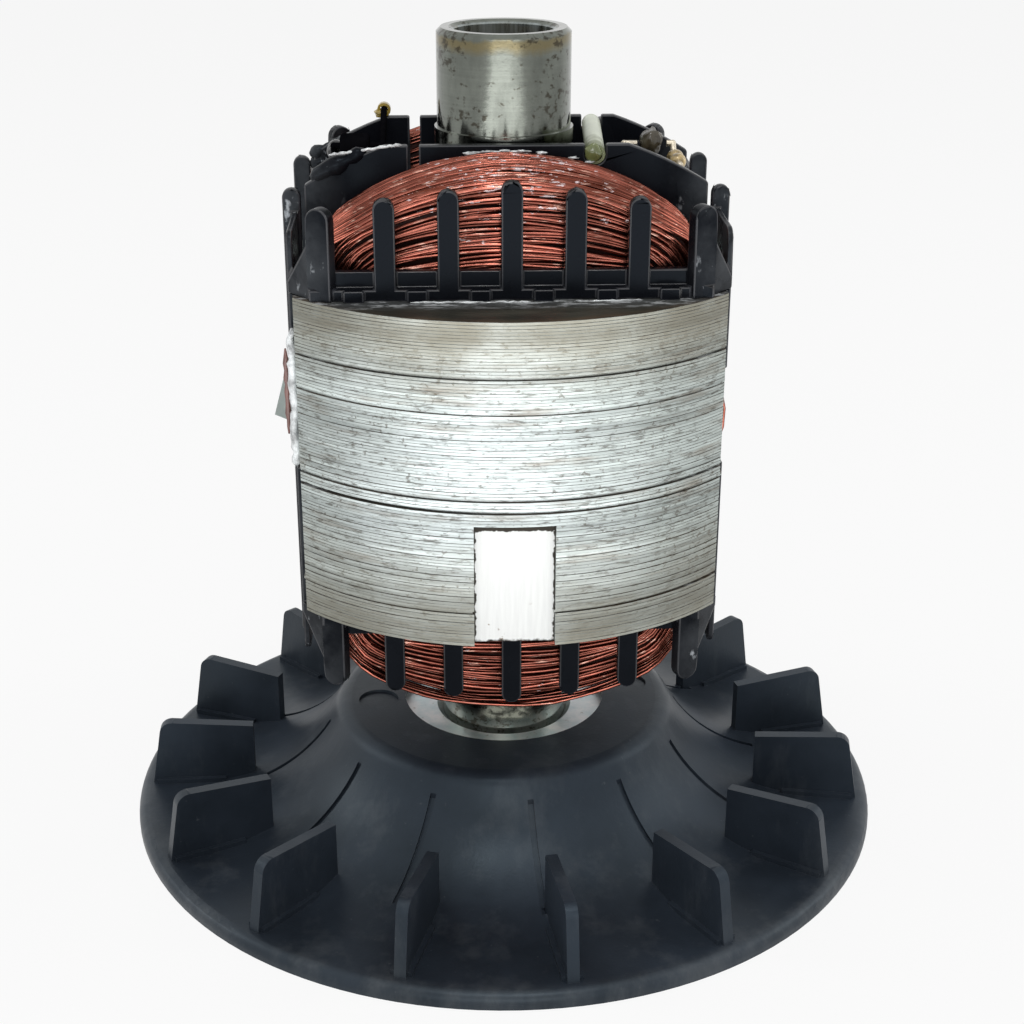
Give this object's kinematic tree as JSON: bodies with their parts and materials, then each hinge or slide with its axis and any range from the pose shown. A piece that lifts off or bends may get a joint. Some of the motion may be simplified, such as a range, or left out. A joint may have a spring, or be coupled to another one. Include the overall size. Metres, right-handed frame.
{
  "type": "generator rotor",
  "caption": "Two-pole generator rotor: laminated core with wound copper coils and moulded end insulators on a hollow steel shaft, with a bladed cooling fan at the drive end.",
  "frame": {"origin": "centre of the plane that the fan's rim stands on, on the shaft's axis", "axes": "+Z along the shaft towards the bearing seat, -Y out of the front pole, +X to the right of the front pole"},
  "size_m": [0.156, 0.156, 0.16],
  "materials": {
    "shaft_steel": "ground, with stains",
    "core_steel": "turned sheet edges, with stains",
    "black_moulding": "moulded, with varnish",
    "copper_wire": "enamelled wire, with varnish",
    "slot_film": "thin film",
    "diode_black": "moulded, with varnish",
    "diode_brown": "moulded, with varnish",
    "tinned_lead": "tinned wire",
    "yellow_sleeve": "varnished sleeve",
    "pale_sleeve": "woven sleeve, with varnish",
    "solder": "solder, with varnish",
    "fan_moulding": "moulded, satin",
    "bush_steel": "turned"
  },
  "bodies": {
    "root": {"shaft": "shaft_steel", "lamination_core": "core_steel", "upper_end_insulator": "black_moulding", "lower_end_insulator": "black_moulding", "front_coil": "copper_wire", "rear_coil": "copper_wire", "left_slot_film": "slot_film", "right_slot_film": "slot_film", "left_diode": "diode_black", "right_diode": "diode_brown", "left_diode_leads": "tinned_lead", "right_diode_leads": "tinned_lead", "left_lead_sleeve": "yellow_sleeve", "coil_link_wire": "copper_wire", "coil_link_sleeve": "pale_sleeve", "solder_joints": "solder", "fan": "fan_moulding", "fan_bush": "bush_steel"}
  },
  "joints": []
}
